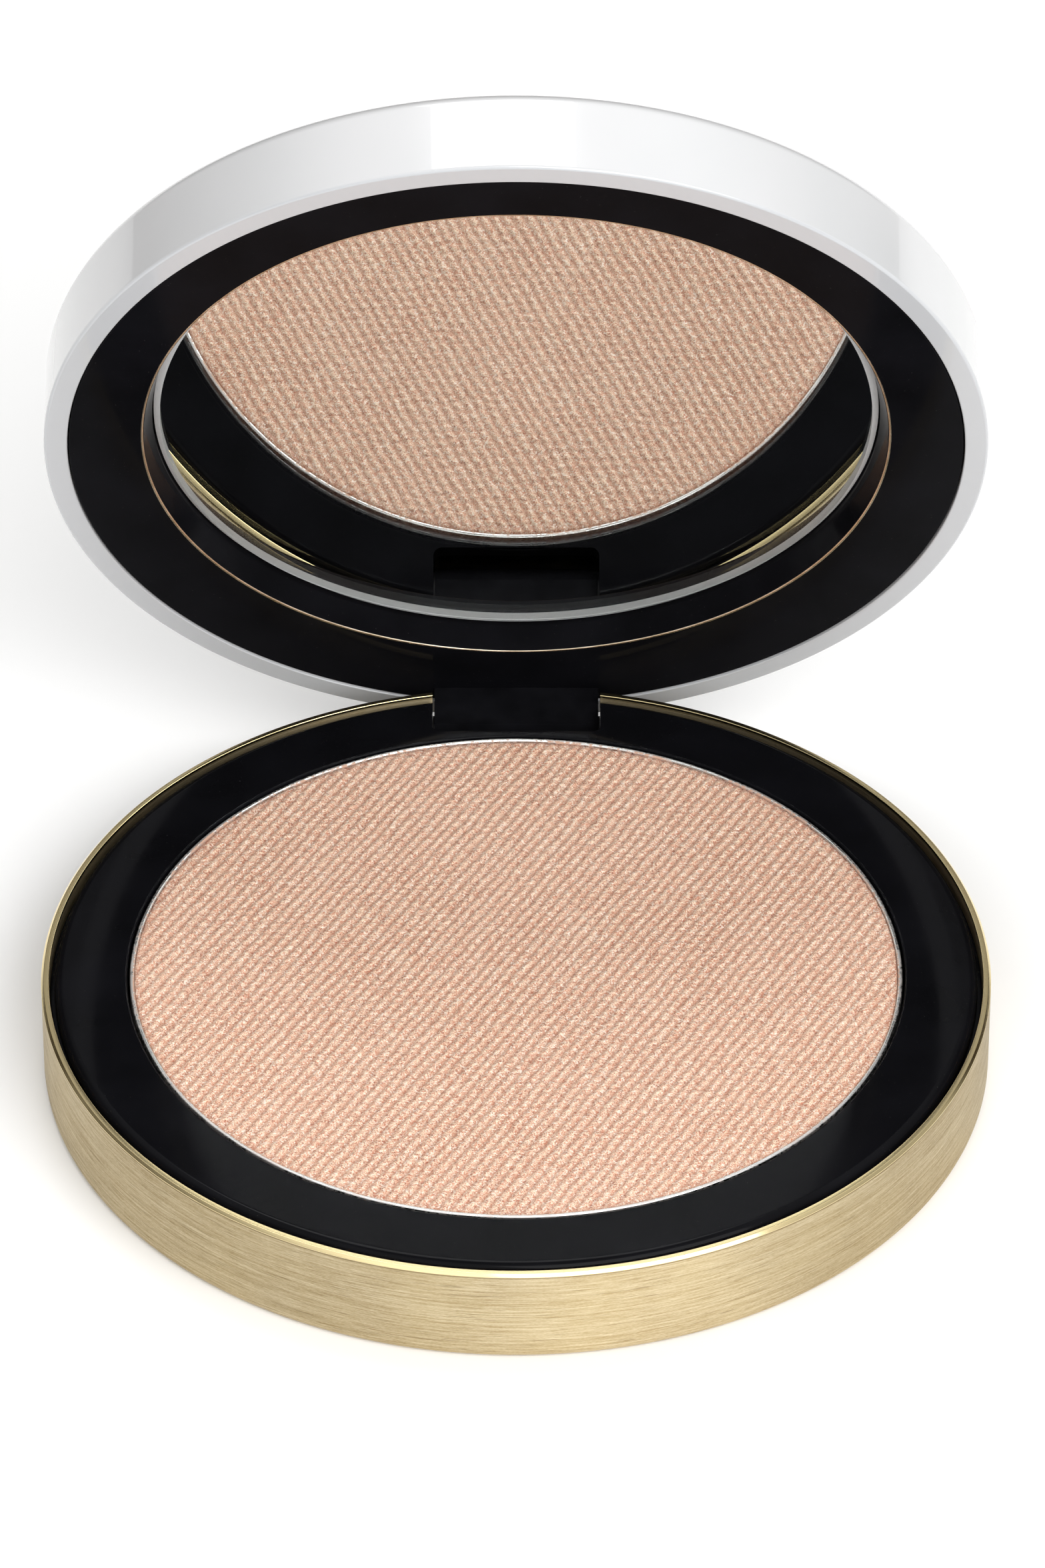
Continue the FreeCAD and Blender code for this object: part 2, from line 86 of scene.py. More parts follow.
# --- node graphs -----------------------------------------------------------------------------------


class Paint:
    """A node material being put together: add() makes a node, the rest are common little graphs."""

    def __init__(self, name):
        self.material = bpy.data.materials.new(name)
        self.material.use_nodes = True
        self.tree = self.material.node_tree
        self.shader = self.tree.nodes["Principled BSDF"]

    def add(self, kind, inputs=(), **settings):
        node = self.tree.nodes.new(kind)
        for key, setting in settings.items():
            setattr(node, key, setting)
        for key, source in dict(inputs).items():
            self.feed(node.inputs[key], source)
        return node

    def feed(self, socket, source):
        """A number, colour or vector is set on the socket; an output is linked to it."""
        if isinstance(source, bpy.types.NodeSocket):
            self.tree.links.new(source, socket)
        else:
            socket.default_value = source

    def set(self, **inputs):
        """Shader inputs by name, with underscores for spaces."""
        for key, source in inputs.items():
            self.feed(self.shader.inputs[key.replace("_", " ")], source)

    def math(self, operation, first, second=0.0, third=0.0):
        return self.add("ShaderNodeMath", {0: first, 1: second, 2: third}, operation=operation).outputs[0]

    def plus(self, first, second):
        return self.math("ADD", first, second)

    def times(self, first, second):
        return self.math("MULTIPLY", first, second)

    def place(self):
        """The point on the piece, in metres; it moves with the piece's body."""
        return self.add("ShaderNodeTexCoord").outputs["Object"]

    def closed_place(self):
        """The same for a lid piece, turned back to where it lies when the case is shut."""
        turn = Matrix.Rotation(OPENED, 3, "X")
        return self.add("ShaderNodeMapping", {
            "Vector": self.place(),
            "Location": HINGE - turn @ HINGE,
            "Rotation": (OPENED, 0.0, 0.0),
        }).outputs[0]

    def split(self, vector):
        return self.add("ShaderNodeSeparateXYZ", {0: vector}).outputs

    def radius(self, vector):
        """Distance from the case's upright centre line."""
        flat = self.add("ShaderNodeVectorMath", {0: vector, 1: (1, 1, 0)}, operation="MULTIPLY")
        return self.add("ShaderNodeVectorMath", {0: flat.outputs[0]}, operation="LENGTH").outputs["Value"]

    def turned(self, vector, stretch):
        """Coordinates for marks that run round the centre line, each stretch times longer than wide."""
        x, y, z = self.split(vector)
        across = self.plus(z, self.radius(vector))
        squeeze = 1.0 / stretch
        return self.add("ShaderNodeCombineXYZ", {
            0: self.times(x, squeeze),
            1: self.times(y, squeeze),
            2: across,
        }).outputs[0]

    def noise(self, vector, size, detail=3.0, roughness=0.5, distortion=0.0):
        """Soft noise from 0 to 1 whose lumps are about size metres across."""
        inputs = {"Vector": vector, "Scale": 1.0 / size, "Detail": detail,
                  "Roughness": roughness, "Distortion": distortion}
        return self.add("ShaderNodeTexNoise", inputs).outputs["Fac"]

    def span(self, source, low, high, to_low=0.0, to_high=1.0, smooth=False):
        """source from low..high to to_low..to_high, clamped."""
        kind = "SMOOTHSTEP" if smooth else "LINEAR"
        inputs = {"Value": source, "From Min": low, "From Max": high, "To Min": to_low, "To Max": to_high}
        return self.add("ShaderNodeMapRange", inputs, interpolation_type=kind).outputs[0]

    def mix(self, amount, first, second):
        """Between two colours."""
        node = self.add("ShaderNodeMix", data_type="RGBA")
        self.feed(node.inputs["Factor"], amount)
        self.feed(node.inputs["A"], first)
        self.feed(node.inputs["B"], second)
        return node.outputs["Result"]

    def bump(self, height, depth, strength):
        """Surface normals for a relief that is depth metres from 0 to 1."""
        inputs = {"Height": height, "Distance": depth, "Strength": strength}
        return self.add("ShaderNodeBump", inputs).outputs[0]

    def shine(self, level):
        """Strength of the plain reflection, 0.5 for ordinary plastic."""
        self.shader.inputs["Specular IOR Level"].default_value = level


def colour(red, green, blue):
    """A colour from the 0-255 values that it shows on screen."""
    def linear(shown):
        shown = shown / 255.0
        return shown / 12.92 if shown <= 0.04045 else ((shown + 0.055) / 1.055) ** 2.4
    return (linear(red), linear(green), linear(blue), 1.0)


# --- materials -------------------------------------------------------------------------------------

MOST = (0.3, 0.7)               # noise is nearly always between these
MIDDLE = (0.35, 0.65)
GOLD = colour(220, 206, 174)
GOLD_DEEP = colour(166, 144, 102)
GOLD_BRIGHT = colour(246, 226, 174)
SCRATCH = colour(120, 98, 62)
SEAM = colour(110, 88, 52)
# painted shade for the wall's cut ends at the hinge bay
CUT_END_SHADE = colour(46, 40, 30)
LIP_DEPTH = 0.27 * MM           # how far down the burnished lip reaches
SEAM_DEPTH = 0.31 * MM          # the fine dark line under it


def brushed_gold():
    """Champagne anodised aluminium, brushed round the wall, with a burnished lip."""
    paint = Paint("brushed_gold")
    spot = paint.place()
    x, y, height = paint.split(spot)
    hair = paint.noise(paint.turned(spot, 45.0), 0.035 * MM, detail=3.0, roughness=0.7)
    streak = paint.noise(paint.turned(spot, 70.0), 0.16 * MM, detail=3.0, roughness=0.6)
    grit = paint.noise(paint.turned(spot, 5.0), 0.05 * MM, detail=2.0)
    scratch = paint.noise(paint.turned(spot, 55.0), 0.07 * MM, detail=1.0, distortion=0.2)
    scratch = paint.span(scratch, 0.66, 0.72)
    clouds = paint.noise(spot, 9.0 * MM, detail=2.0)
    from_seam = paint.math("SUBTRACT", height, BASE_TOP - SEAM_DEPTH)
    lip = paint.span(height, BASE_TOP - LIP_DEPTH, BASE_TOP - LIP_DEPTH + 0.05 * MM)
    seam = paint.span(paint.math("ABSOLUTE", from_seam), 0.03 * MM, 0.07 * MM, 1.0, 0.0)
    # painted shade: the wall's cut ends at the hinge bay are painted dark
    shaded_cut_end = paint.math("LESS_THAN", paint.math("ABSOLUTE", x), BAY_HALF + 0.02 * MM)
    shaded_cut_end = paint.times(shaded_cut_end, paint.math("GREATER_THAN", y, BAY_FRONT - MM))

    grain = paint.plus(paint.times(hair, 0.45), paint.times(streak, 0.35))
    grain = paint.span(paint.plus(grain, paint.times(grit, 0.2)), 0.38, 0.62)
    tone = paint.mix(grain, GOLD_DEEP, GOLD)
    tone = paint.mix(paint.times(scratch, 0.60), tone, SCRATCH)
    tone = paint.mix(paint.span(clouds, *MIDDLE, 0.0, 0.10), tone, GOLD_BRIGHT)
    tone = paint.mix(paint.times(seam, 0.55), tone, SEAM)
    tone = paint.mix(lip, tone, GOLD_BRIGHT)
    tone = paint.mix(shaded_cut_end, tone, CUT_END_SHADE)
    rough = paint.span(grain, 0.0, 1.0, 0.52, 0.42)
    rough = paint.plus(rough, paint.times(scratch, 0.06))
    rough = paint.times(rough, paint.span(lip, 0.0, 1.0, 1.0, 0.35))
    relief = paint.math("SUBTRACT", hair, paint.times(scratch, 0.8))
    relief = paint.times(relief, paint.span(lip, 0.0, 1.0, 1.0, 0.0))
    tangent = paint.add("ShaderNodeTangent", direction_type="RADIAL", axis="Z").outputs[0]
    paint.set(Base_Color=tone, Metallic=1.0, Roughness=rough, Anisotropic=0.80, Tangent=tangent,
              Anisotropic_Rotation=0.25, Normal=paint.bump(relief, 0.008 * MM, 0.6))
    return paint.material


def gloss_black(name, gloss):
    """Moulded black plastic, polished, with faint flow marks and a little dust, as a Paint."""
    paint = Paint(name)
    spot = paint.place()
    flow = paint.noise(spot, 6.0 * MM, detail=3.0)
    dust = paint.span(paint.noise(spot, 0.16 * MM, detail=1.0), 0.76, 0.80)
    tone = paint.mix(paint.span(flow, *MOST), colour(11, 11, 13), colour(16, 16, 19))
    tone = paint.mix(paint.times(dust, 0.22), tone, colour(90, 88, 86))
    rough = paint.span(flow, *MOST, 0.07, 0.12)
    rough = paint.plus(rough, paint.times(dust, 0.3))
    paint.set(Base_Color=tone, Roughness=rough, Normal=paint.bump(flow, 0.004 * MM, 0.2))
    paint.shine(gloss)
    return paint


def frame_black():
    """The same black for the lid's frame, whose mouth round the mirror carries a thin champagne line."""
    paint = gloss_black("frame_black", 0.025)
    spot = paint.add("ShaderNodeVectorMath", {0: paint.closed_place(), 1: (0.0, -MIRROR_ALONG, 0.0)},
                     operation="ADD").outputs[0]
    round_mouth = paint.math("COMPARE", paint.radius(spot), MOUTH_RADIUS + 0.09 * MM, 0.095 * MM)
    near_face = paint.math("COMPARE", paint.split(spot)[2], FRAME_LOW.z, 0.13 * MM)
    line = paint.times(round_mouth, near_face)
    plain, rough = (paint.shader.inputs[key].links[0].from_socket for key in ("Base Color", "Roughness"))
    worn = paint.noise(spot, 1.6 * MM, detail=2.0)
    trim = paint.mix(paint.span(worn, *MIDDLE), colour(206, 194, 168), colour(236, 228, 208))
    paint.set(Base_Color=paint.mix(line, plain, trim), Metallic=line,
              Roughness=paint.plus(rough, paint.times(line, 0.15)))
    return paint


def lug_black():
    """The same moulding for the hinge lug, a touch duller."""
    paint = Paint("moulded_black")
    spot = paint.place()
    flow = paint.noise(spot, 3.0 * MM, detail=4.0)
    grit = paint.noise(spot, 0.12 * MM, detail=2.0)
    tone = paint.mix(paint.span(flow, *MOST), colour(13, 13, 15), colour(22, 22, 25))
    paint.set(Base_Color=tone, Roughness=paint.span(flow, *MOST, 0.16, 0.26),
              Normal=paint.bump(grit, 0.004 * MM, 0.3))
    paint.shine(0.04)
    return paint.material


def white_lacquer():
    """Glossy white lacquer, very slightly wavy, with painted shade that greys the lip's flat underside."""
    paint = Paint("white_lacquer")
    spot = paint.place()
    peel = paint.noise(spot, 1.1 * MM, detail=2.0)
    slow = paint.noise(spot, 14.0 * MM, detail=2.0)
    specks = paint.span(paint.noise(spot, 0.22 * MM, detail=1.0), 0.76, 0.82)
    height = paint.split(paint.closed_place())[2]
    # painted shade: the lip's flat underside is greyed in the colour
    under = paint.span(height, LID_LOW.z + 0.02 * MM, LID_LOW.z + 0.30 * MM, 1.0, 0.0, smooth=True)
    tone = paint.mix(paint.span(slow, *MOST), colour(204, 205, 206), colour(209, 209, 210))
    tone = paint.mix(paint.times(specks, 0.10), tone, colour(198, 197, 195))
    tone = paint.mix(under, tone, colour(180, 182, 185))
    rough = paint.span(slow, *MOST, 0.16, 0.24)
    paint.set(Base_Color=tone, Roughness=rough, Coat_Weight=1.0, Coat_Roughness=0.03,
              Normal=paint.bump(peel, 0.006 * MM, 0.4))
    paint.shine(0.5)
    return paint.material


def dusty_aluminium():
    """Bright pressed aluminium, with powder caught along the pan's rim."""
    paint = Paint("pan_aluminium")
    spot = paint.place()
    drawn = paint.noise(paint.turned(spot, 25.0), 0.10 * MM, detail=4.0)
    grime = paint.noise(spot, 0.35 * MM, detail=4.0, roughness=0.65)
    patches = paint.noise(spot, 5.0 * MM, detail=1.0)
    dust = paint.plus(grime, paint.times(patches, 0.6))
    inner = paint.math("LESS_THAN", paint.radius(spot), PAN_HIGH.x - 0.22 * MM)
    dust = paint.times(paint.span(dust, 0.74, 0.90, smooth=True),
                      paint.span(inner, 0.0, 1.0, 0.25, 1.0))
    tone = paint.mix(paint.span(drawn, *MOST), colour(205, 205, 203), colour(240, 240, 238))
    tone = paint.mix(dust, tone, colour(196, 160, 138))
    metal = paint.span(dust, 0.0, 1.0, 1.0, 0.0)
    rough = paint.plus(paint.span(drawn, *MOST, 0.18, 0.34),
                       paint.times(dust, 0.5))
    paint.set(Base_Color=tone, Metallic=metal, Roughness=rough,
              Normal=paint.bump(paint.plus(drawn, grime), 0.01 * MM, 0.5))
    return paint.material


def shimmer_powder():
    """Peach powder: painted shade darkens the grooves and tiny pits; coarse in the grain, with pearly flecks
    whose paler colour is partly a painted glint.
    """
    paint = Paint("pressed_powder")
    spot = paint.place()
    height = paint.split(spot)[2]
    groove_shade = paint.span(height, CAKE_TOP - 0.19 * MM, CAKE_TOP - 0.04 * MM)
    fine = paint.noise(spot, 0.085 * MM, detail=1.0, roughness=0.7)
    coarse = paint.noise(spot, 0.24 * MM, detail=3.0, roughness=0.8)
    slow = paint.noise(spot, 11.0 * MM, detail=2.0)
    cell = paint.add("ShaderNodeTexVoronoi", {"Vector": spot, "Scale": 1.0 / (0.11 * MM)},
                     feature="F1")
    fleck = paint.add("ShaderNodeSeparateColor", {0: cell.outputs["Color"]}).outputs
    pearl_glint = paint.span(fleck[0], 0.84, 0.92)
    shaded_pit = paint.span(fleck[1], 0.84, 0.95)

    grain = paint.plus(paint.times(fine, 0.6), paint.times(coarse, 0.4))
    tone = paint.mix(paint.span(grain, 0.41, 0.58), colour(200, 124, 93), colour(255, 236, 208))
    # painted shade: the grooves are darkened in the colour
    tone = paint.mix(paint.span(groove_shade, 0.0, 1.0, 0.62, 0.0), tone, colour(172, 98, 71))
    tone = paint.mix(paint.span(slow, *MIDDLE, 0.0, 0.10), tone, colour(252, 214, 192))
    # painted shade: small dark spots stand for the shade in tiny pits
    tone = paint.mix(paint.times(shaded_pit, 0.60), tone, colour(134, 68, 48))
    # pearly flecks: a paler colour, partly the flecks' own and partly a painted glint, with lower roughness
    tone = paint.mix(paint.times(pearl_glint, 0.70), tone, colour(255, 242, 228))
    rough = paint.span(pearl_glint, 0.0, 1.0, 0.62, 0.30)
    relief = paint.plus(grain, paint.times(fleck[2], 0.30))
    paint.set(Base_Color=tone, Roughness=rough, Normal=paint.bump(relief, 0.06 * MM, 1.0))
    paint.shine(0.45)
    paint.shader.inputs["Sheen Weight"].default_value = 0.08
    paint.shader.inputs["Sheen Roughness"].default_value = 0.4
    return paint.material


def clear_glass():
    """The mirror's glass, faintly green."""
    paint = Paint("mirror_glass")
    tint = paint.noise(paint.place(), 9.0 * MM, detail=2.0)
    tone = paint.mix(tint, (0.960, 0.975, 0.968, 1.0), (0.970, 0.980, 0.976, 1.0))
    paint.set(Base_Color=tone, Transmission_Weight=1.0, IOR=1.52, Roughness=0.0)
    return paint.material


def ground_glass():
    """The glass's ground edge and bevel, frosted by the wheel."""
    paint = Paint("ground_edge")
    spot = paint.closed_place()
    marks = paint.noise(paint.turned(spot, 12.0), 0.06 * MM, detail=3.0)
    tone = paint.mix(marks, (0.90, 0.91, 0.91, 1.0), (1.0, 1.0, 1.0, 1.0))
    paint.set(Base_Color=tone, Transmission_Weight=0.10, IOR=1.52,
              Roughness=paint.span(marks, *MOST, 0.25, 0.45), Normal=paint.bump(marks, 0.01 * MM, 0.5))
    return paint.material


def silvering():
    """The mirror's bright coat, very slightly uneven in tone."""
    paint = Paint("mirror_backing")
    haze = paint.noise(paint.place(), 5.0 * MM, detail=3.0)
    tone = paint.mix(paint.span(haze, *MOST), (0.94, 0.945, 0.94, 1.0), (0.97, 0.97, 0.965, 1.0))
    paint.set(Base_Color=tone, Metallic=1.0, Roughness=0.0)
    return paint.material


def plain_metal(name, dark, light, size, rough_low, rough_high, depth):
    """Plated or polished metal with a fine mottle."""
    paint = Paint(name)
    spot = paint.place()
    mottle = paint.noise(spot, size, detail=4.0, roughness=0.6)
    lines = paint.noise(paint.turned(spot, 20.0), 0.09 * MM, detail=3.0)
    tone = paint.mix(paint.span(mottle, *MIDDLE), dark, light)
    paint.set(Base_Color=tone, Metallic=1.0,
              Roughness=paint.span(mottle, *MOST, rough_low, rough_high),
              Normal=paint.bump(paint.plus(mottle, lines), depth, 0.4))
    return paint.material


def plain_soft(name, dark, light, size, rough_low, rough_high, depth):
    """Film, foam tape or unpolished plastic with a fine grain."""
    paint = Paint(name)
    spot = paint.place()
    mottle = paint.noise(spot, size * 12.0, detail=3.0)
    grain = paint.noise(spot, size, detail=3.0, roughness=0.65)
    both = paint.plus(paint.times(mottle, 0.5), paint.times(grain, 0.5))
    tone = paint.mix(paint.span(both, *MIDDLE), dark, light)
    paint.set(Base_Color=tone, Roughness=paint.span(grain, *MOST, rough_low, rough_high),
              Normal=paint.bump(grain, depth, 0.6))
    return paint.material


def finish(material, *nodes):
    """Gives a material to CAD nodes that keep their own shape."""
    for node in nodes:
        for held in frame["nodes"][node].material_slots:
            held.material = material


finish(lug_black(), "hinge_lug")
finish(plain_metal("zinc_plate", colour(150, 152, 156), colour(188, 190, 194), 2.2 * MM, 0.34, 0.52,
                   0.01 * MM), "ballast_plate", "lid_weight")
finish(plain_metal("nickel_plate", colour(186, 182, 176), colour(216, 212, 206), 0.5 * MM, 0.16, 0.28,
                   0.005 * MM), "base_magnets", "lid_magnets")
finish(plain_metal("polished_steel", colour(196, 198, 202), colour(226, 228, 231), 0.6 * MM, 0.10, 0.20,
                   0.004 * MM), "hinge_pin", "lug_screws")
finish(plain_soft("acetal", colour(30, 30, 32), colour(44, 44, 46), 0.08 * MM, 0.42, 0.55, 0.006 * MM),
       "hinge_bush", "hinge_washers")
finish(plain_soft("bond_film", colour(206, 202, 188), colour(226, 223, 212), 0.10 * MM, 0.45, 0.62,
                  0.012 * MM),
       "tray_bond", "ballast_tape", "pan_tape", "lid_bond", "lid_weight_tape", "mirror_tape")
finish(plain_soft("label_film", colour(222, 222, 219), colour(234, 234, 232), 0.07 * MM, 0.48, 0.60,
                  0.006 * MM), "base_label")

# --- turned and cut pieces -------------------------------------------------------------------------

TURNS = 384                     # facets round a full circle
SMOOTH_UP_TO = math.radians(32.0)


def rounded(corners, steps=6):
    """Outline through (across, up, round) corners, each rounded by an arc; a round of 0 stays sharp."""
    points = []
    for index, (across, up, size) in enumerate(corners):
        here = Vector((across, up))
        if size == 0:
            points.append(here)
            continue
        before = (Vector(corners[index - 1][:2]) - here).normalized()
        after = (Vector(corners[(index + 1) % len(corners)][:2]) - here).normalized()
        half = before.angle(after) / 2.0
        centre = here + (before + after).normalized() * (size / math.sin(half))
        start = here + before * (size / math.tan(half)) - centre
        end = here + after * (size / math.tan(half)) - centre
        points += [centre + start.slerp(end, step / steps) * size for step in range(steps + 1)]
    return points


def new_mesh(name, points, faces):
    """A mesh with every face turned outwards."""
    mesh = bpy.data.meshes.new(name)
    mesh.from_pydata([tuple(point) for point in points], [], faces)
    shape = bmesh.new()
    shape.from_mesh(mesh)
    bmesh.ops.recalc_face_normals(shape, faces=shape.faces)
    shape.to_mesh(mesh)
    shape.free()
    return mesh


def lathe(name, outline, along=0.0):
    """Outline of (radius, height) points turned about an upright line, at y = along.

    An outline that starts and ends at radius 0 is closed there by two poles; any other is a loop.
    """
    poled = outline[0].x == 0
    rings = [point for point in outline if point.x > 0]
    spin = [math.tau * step / TURNS for step in range(TURNS)]
    points = [(ring.x * math.cos(a), along + ring.x * math.sin(a), ring.y) for ring in rings for a in spin]
    faces = []
    for index in range(len(rings) - 1 if poled else len(rings)):
        low = index * TURNS
        high = (index + 1) % len(rings) * TURNS
        for step in range(TURNS):
            turn = (step + 1) % TURNS
            faces.append((low + step, low + turn, high + turn, high + step))
    if poled:
        for ring, height in ((0, outline[0].y), (len(rings) - 1, outline[-1].y)):
            pole = len(points)
            points.append((0.0, along, height))
            faces += [(ring * TURNS + step, ring * TURNS + (step + 1) % TURNS, pole)
                      for step in range(TURNS)]
    return new_mesh(name, points, faces)


def slab(name, outline, low, high):
    """Flat outline of (x, y) points stood up between two heights."""
    count = len(outline)
    points = [(x, y, height) for height in (low, high) for x, y in outline]
    faces = [tuple(range(count)), tuple(range(count, 2 * count))]
    faces += [(i, (i + 1) % count, count + (i + 1) % count, count + i) for i in range(count)]
    return new_mesh(name, points, faces)


def circle(across, along, radius, steps=40):
    spin = [math.tau * step / steps for step in range(steps)]
    return [(across + radius * math.cos(a), along + radius * math.sin(a)) for a in spin]


def bay_outline(half_width, front, corner):
    """The gap for the hinge seen from above, open to the back."""
    back = BODY_RADIUS + 3 * MM
    return rounded([(-half_width, front, corner), (half_width, front, corner), (half_width, back, 0),
                    (-half_width, back, 0)])


def combine(mesh, tools):
    """mesh with each (operation, tool mesh) applied in turn."""
    piece = bpy.data.objects.new(mesh.name, mesh)
    bpy.context.scene.collection.objects.link(piece)
    helpers = []
    for operation, tool in tools:
        helper = bpy.data.objects.new("helper", tool)
        bpy.context.scene.collection.objects.link(helper)
        helpers.append(helper)
        step = piece.modifiers.new(operation, "BOOLEAN")
        step.operation = operation
        step.object = helper
        step.solver = "EXACT"
    graph = bpy.context.evaluated_depsgraph_get()
    made = bpy.data.meshes.new_from_object(piece.evaluated_get(graph))
    for thing in [piece] + helpers:
        bpy.data.objects.remove(thing)
    return made


def place_piece(name, mesh, body, node, slot, *materials):
    """Puts a finished mesh in the scene in place of a CAD node; lid meshes are drawn shut."""
    if body == "lid":
        mesh.transform(SHUT.inverted())
    mesh.name = name
    mesh.materials.clear()
    for material in materials:
        mesh.materials.append(material)
    mesh.shade_smooth()
    mesh.set_sharp_from_angle(angle=SMOOTH_UP_TO)
    piece = bpy.data.objects.new(name, mesh)
    bpy.context.scene.collection.objects.link(piece)
    flats = piece.modifiers.new("flats", "WEIGHTED_NORMAL")
    flats.keep_sharp = True
    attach(piece, body)
    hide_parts(node)
    return piece


CUP_WALL = 0.6 * MM
CUP_FLOOR = BALLAST_LOW.z - 0.15 * MM
CUP_INSIDE = BODY_RADIUS - CUP_WALL
BAY_HALF = 6.8 * MM
BAY_FRONT = 30.9 * MM
BAY_SILL = 1.5 * MM
TRAY_RADIUS = 35.95 * MM
SKIRT_RADIUS = 36.3 * MM
SKIRT_TOP = 6.9 * MM
TRAY_PLATE = 1.4 * MM
WELL_RADIUS = 30.3 * MM
WELL_FLOOR = PAN_LOW.z - 0.2 * MM
PAN_RADIUS = PAN_HIGH.x
LUG_HALF = 6.69 * MM
LUG_SLOT = 32.82 * MM
MOUTH_RADIUS = 29.15 * MM
FRAME_PLATE = 1.5 * MM
MAGNETS = [(side * 4.0 * MM, -32.56 * MM) for side in (-1, 1)]
SCREWS = [(side * 8.0 * MM, 31.9 * MM) for side in (-1, 1)]
MAGNET_SEAT = 1.13 * MM         # radius
SCREW_HOLE = 0.52 * MM          # radius
PIN_BORE = 0.52 * MM            # radius
BORE_HALF = 8.5 * MM            # half its length
EDGE_ROUND = 0.05 * MM
FIT = 0.1 * MM                  # between a piece and the wall round it
OVERSHOOT = 0.1 * MM            # how far a cut runs past the face it opens
EAR_FRONT = 30.8 * MM
EAR_HALF = 10.8 * MM
EAR_STEPS = 24


def base_cup():
    """The gold cup: rounded foot, burnished chamfer, recess for the label, bay for the hinge."""
    chamfer = 0.2 * MM
    recess = LABEL_HIGH.x + 0.05 * MM
    cup = lathe("base_cup", rounded([
        (0, LABEL_HIGH.z, 0), (recess, LABEL_HIGH.z, 0), (recess, 0, 0.04 * MM),
        (BODY_RADIUS, 0, 0.7 * MM),
        (BODY_RADIUS, BASE_TOP - chamfer, EDGE_ROUND), (BODY_RADIUS - chamfer, BASE_TOP, EDGE_ROUND),
        (CUP_INSIDE, BASE_TOP, EDGE_ROUND), (CUP_INSIDE, CUP_FLOOR, 0.2 * MM), (0, CUP_FLOOR, 0),
    ]))
    bay = slab("bay", bay_outline(BAY_HALF, BAY_FRONT, 0.3 * MM), BAY_SILL, BASE_TOP + MM)
    place_piece("base_cup", combine(cup, [("DIFFERENCE", bay)]), "base", "base_shell", "gold_aluminium",
                brushed_gold())


def black_tray():
    """The glossy tray: top plate with a soft shoulder, skirt, pan well and the ears for the pin."""
    well_outside = WELL_RADIUS + MM
    skirt_inside = SKIRT_RADIUS - 1.2 * MM
    under = BASE_TOP - TRAY_PLATE
    tray = lathe("black_tray", rounded([
        (0, WELL_FLOOR - MM, 0), (well_outside, WELL_FLOOR - MM, 0.2 * MM), (well_outside, under, 0.2 * MM),
        (skirt_inside, under, 0.1 * MM), (skirt_inside, TRAY_LOW.z, 0), (SKIRT_RADIUS, TRAY_LOW.z, 0.1 * MM),
        (SKIRT_RADIUS, SKIRT_TOP, 0.1 * MM), (TRAY_RADIUS, SKIRT_TOP, EDGE_ROUND),
        (TRAY_RADIUS, TRAY_HIGH.z, 0.75 * MM), (WELL_RADIUS, TRAY_HIGH.z, 0.18 * MM),
        (WELL_RADIUS, WELL_FLOOR, 0.15 * MM), (0, WELL_FLOOR, 0),
    ]))
    ear_inset = 0.03 * MM
    ear_reach = SKIRT_RADIUS - ear_inset
    spread = math.asin(EAR_HALF / ear_reach)
    back = [math.pi / 2 - spread + 2 * spread * step / EAR_STEPS for step in range(EAR_STEPS + 1)]
    ears = [(-EAR_HALF, EAR_FRONT), (EAR_HALF, EAR_FRONT)]
    ears += [(ear_reach * math.cos(a), ear_reach * math.sin(a)) for a in back]
    bore = slab("bore", circle(HINGE.z, HINGE.y, PIN_BORE), -BORE_HALF, BORE_HALF)
    bore.transform(Matrix.Rotation(math.radians(90.0), 4, "Y") @ Matrix.Scale(-1.0, 4, (1, 0, 0)))
    tools = [
        ("UNION", slab("ears", ears, TRAY_LOW.z + ear_inset, SKIRT_TOP - ear_inset)),
        ("DIFFERENCE", slab("bay", bay_outline(BAY_HALF, BAY_FRONT, 0.7 * MM), -MM, BASE_TOP + MM)),
        ("DIFFERENCE", bore),
    ]
    tools += [("DIFFERENCE", slab("seat", circle(*at, MAGNET_SEAT), under - OVERSHOOT, BASE_TOP - 0.6 * MM))
              for at in MAGNETS]
    place_piece("black_tray", combine(tray, tools), "base", "base_tray", "gloss_black",
                gloss_black("tray_black", 0.06).material)


def powder_pan():
    """The pressed pan that holds the cake."""
    wall = PAN_RADIUS - CAKE_RADIUS
    pan = lathe("powder_pan", rounded([
        (0, PAN_LOW.z, 0), (PAN_RADIUS, PAN_LOW.z, 0.4 * MM), (PAN_RADIUS, PAN_HIGH.z, 0.12 * MM),
        (CAKE_RADIUS, PAN_HIGH.z, 0.12 * MM), (CAKE_RADIUS, PAN_LOW.z + wall, 0.1 * MM),
        (0, PAN_LOW.z + wall, 0),
    ]))
    place_piece("powder_pan", pan, "base", "pan", "pan_aluminium", dusty_aluminium())


def lid_cap():
    """The white lacquered cap with its thick lip."""
    inside = FRAME_HIGH.x + FIT
    roof = LID_HIGH.z - MM
    cap = lathe("lid_cap", rounded([
        (0, LID_HIGH.z, 0), (BODY_RADIUS, LID_HIGH.z, 1.3 * MM), (BODY_RADIUS, LID_LOW.z, 0.25 * MM),
        (inside, LID_LOW.z, 0.1 * MM), (inside, roof, 0.3 * MM), (0, roof, 0),
    ], steps=10))
    place_piece("lid_cap", cap, "lid", "lid_shell", "white_lacquer", white_lacquer())


